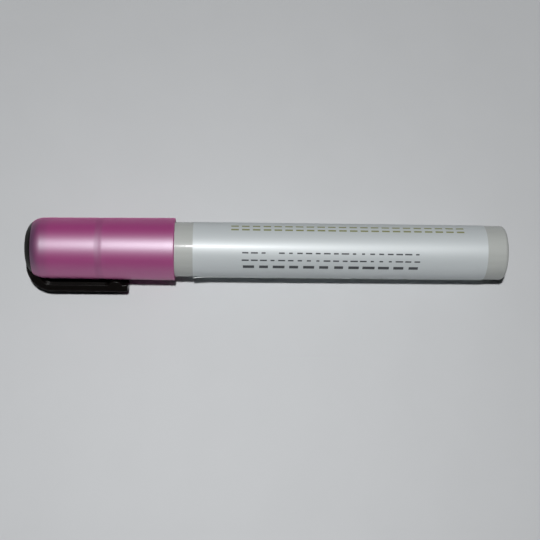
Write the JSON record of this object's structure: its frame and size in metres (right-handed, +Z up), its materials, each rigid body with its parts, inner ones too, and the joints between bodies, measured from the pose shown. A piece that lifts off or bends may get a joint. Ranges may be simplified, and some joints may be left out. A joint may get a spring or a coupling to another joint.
{
  "type": "paint marker pen",
  "caption": "Capped pump-action paint marker: grey labelled barrel, pearl pink cap with a black clip end, chisel nib, spring valve and mixing ball inside.",
  "frame": {"origin": "centre of the barrel's flat rear face, on the pen's axis", "axes": "+X along the pen from the cap to the rear face, +Z up from the table that the pen lies on, clip towards -Y and down"},
  "size_m": [0.1412, 0.0209, 0.0185],
  "materials": {
    "barrel_grey": "gloss moulded polypropylene, silver grey",
    "label_film": "satin silver film",
    "section_white": "natural moulded polypropylene",
    "nib_fibre": "bonded polyester fibre",
    "valve_white": "natural moulded acetal",
    "stem_blue": "moulded acetal",
    "seal_rubber": "moulded nitrile rubber",
    "spring_steel": "stainless spring wire",
    "cage_white": "natural moulded acetal",
    "ball_steel": "polished steel",
    "cap_pearl": "pearl pink moulded polypropylene",
    "inner_white": "natural moulded polyethylene",
    "clip_black": "gloss black moulded plastic"
  },
  "bodies": {
    "barrel": {"barrel": "barrel_grey", "label": "label_film", "front_section": "section_white", "valve_seat": "valve_white", "valve_spring": "spring_steel", "spring_cage": "cage_white"},
    "nib": {"nib": "nib_fibre", "valve_stem": "stem_blue", "valve_seal": "seal_rubber"},
    "ball": {"mixing_ball": "ball_steel"},
    "cap": {"cap_shell": "cap_pearl", "inner_cap": "inner_white", "clip_plug": "clip_black"}
  },
  "joints": [
    {"name": "cap_slide", "type": "slide", "parent": "barrel", "child": "cap", "axis": [-1, 0, 0], "range_m": [0, 0.05]},
    {"name": "nib_pump", "type": "slide", "parent": "barrel", "child": "nib", "axis": [1, 0, 0], "range_m": [0, 0.0025], "stiffness_N_per_m": 800, "springref_m": -0.002, "deforming": ["valve_spring"]},
    {"name": "ball_roll", "type": "slide", "parent": "barrel", "child": "ball", "axis": [1, 0, 0], "range_m": [-0.0527, 0.0247]}
  ]
}
